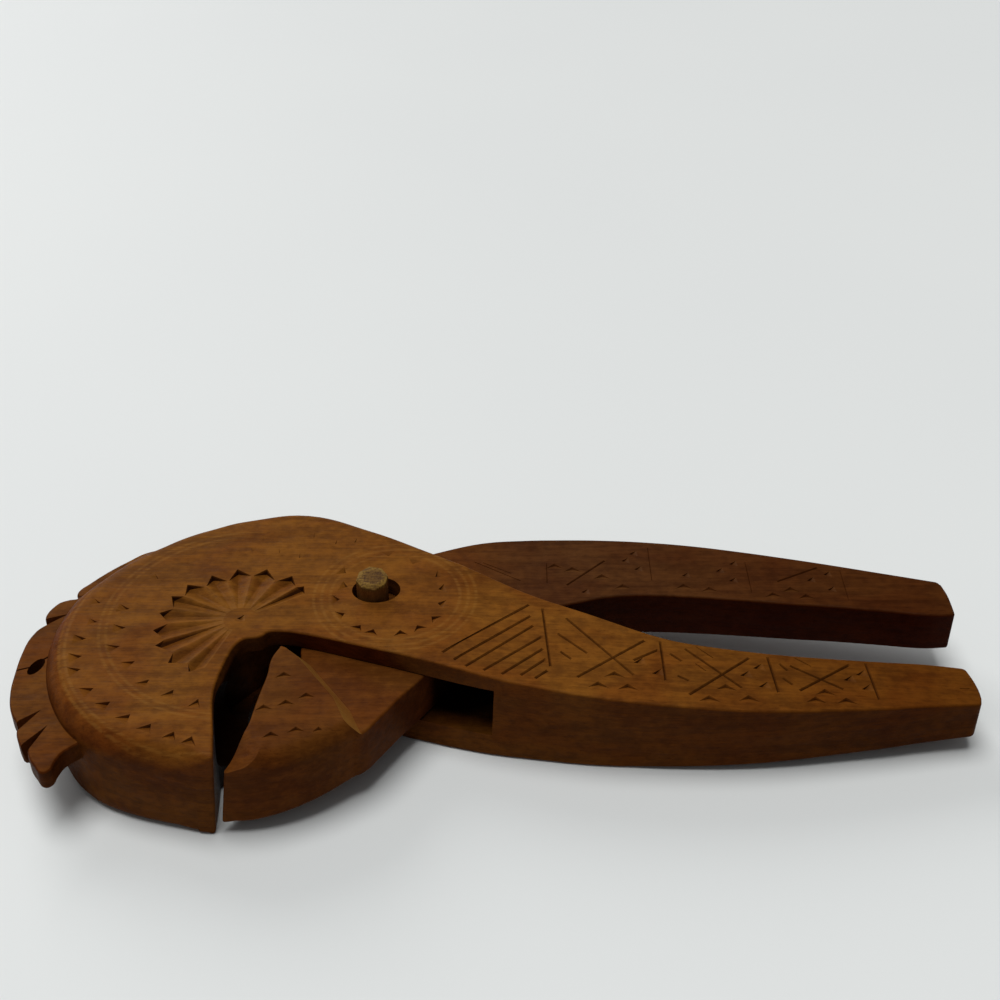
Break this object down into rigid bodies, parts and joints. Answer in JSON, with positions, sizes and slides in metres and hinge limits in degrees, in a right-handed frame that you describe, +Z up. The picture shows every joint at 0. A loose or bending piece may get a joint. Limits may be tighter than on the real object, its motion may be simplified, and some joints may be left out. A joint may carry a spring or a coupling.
{
  "type": "lever nutcracker",
  "caption": "Hand-carved wooden lever nutcracker: a flat animal head with a scalloped crest, a jaw lever pinned through a slot in its neck, and chip-carved handles.",
  "frame": {"origin": "middle of the bounding box's underside, on the table that the head lever lies on", "axes": "+X along the handles, from the head to the handle tips; +Y from the jaw's side to the back; +Z up, along the peg"},
  "size_m": [0.2072, 0.0804, 0.0263],
  "materials": {
    "waxed_wood": "satin wax over hand-planed, knife-cut hardwood",
    "waxed_wood_dark": "satin wax, darker from handling",
    "peg_wood": "bare whittled end grain"
  },
  "bodies": {
    "head": {"head_lever": "waxed_wood", "pivot_peg": "peg_wood"},
    "jaw": {"jaw_lever": "waxed_wood_dark"}
  },
  "joints": [
    {"name": "jaw_hinge", "type": "hinge", "parent": "head", "child": "jaw", "pos_m": [-0.02786, 0.01098, 0.0112], "axis": [0, 0, 1], "range_deg": [-1.2, 24]}
  ]
}
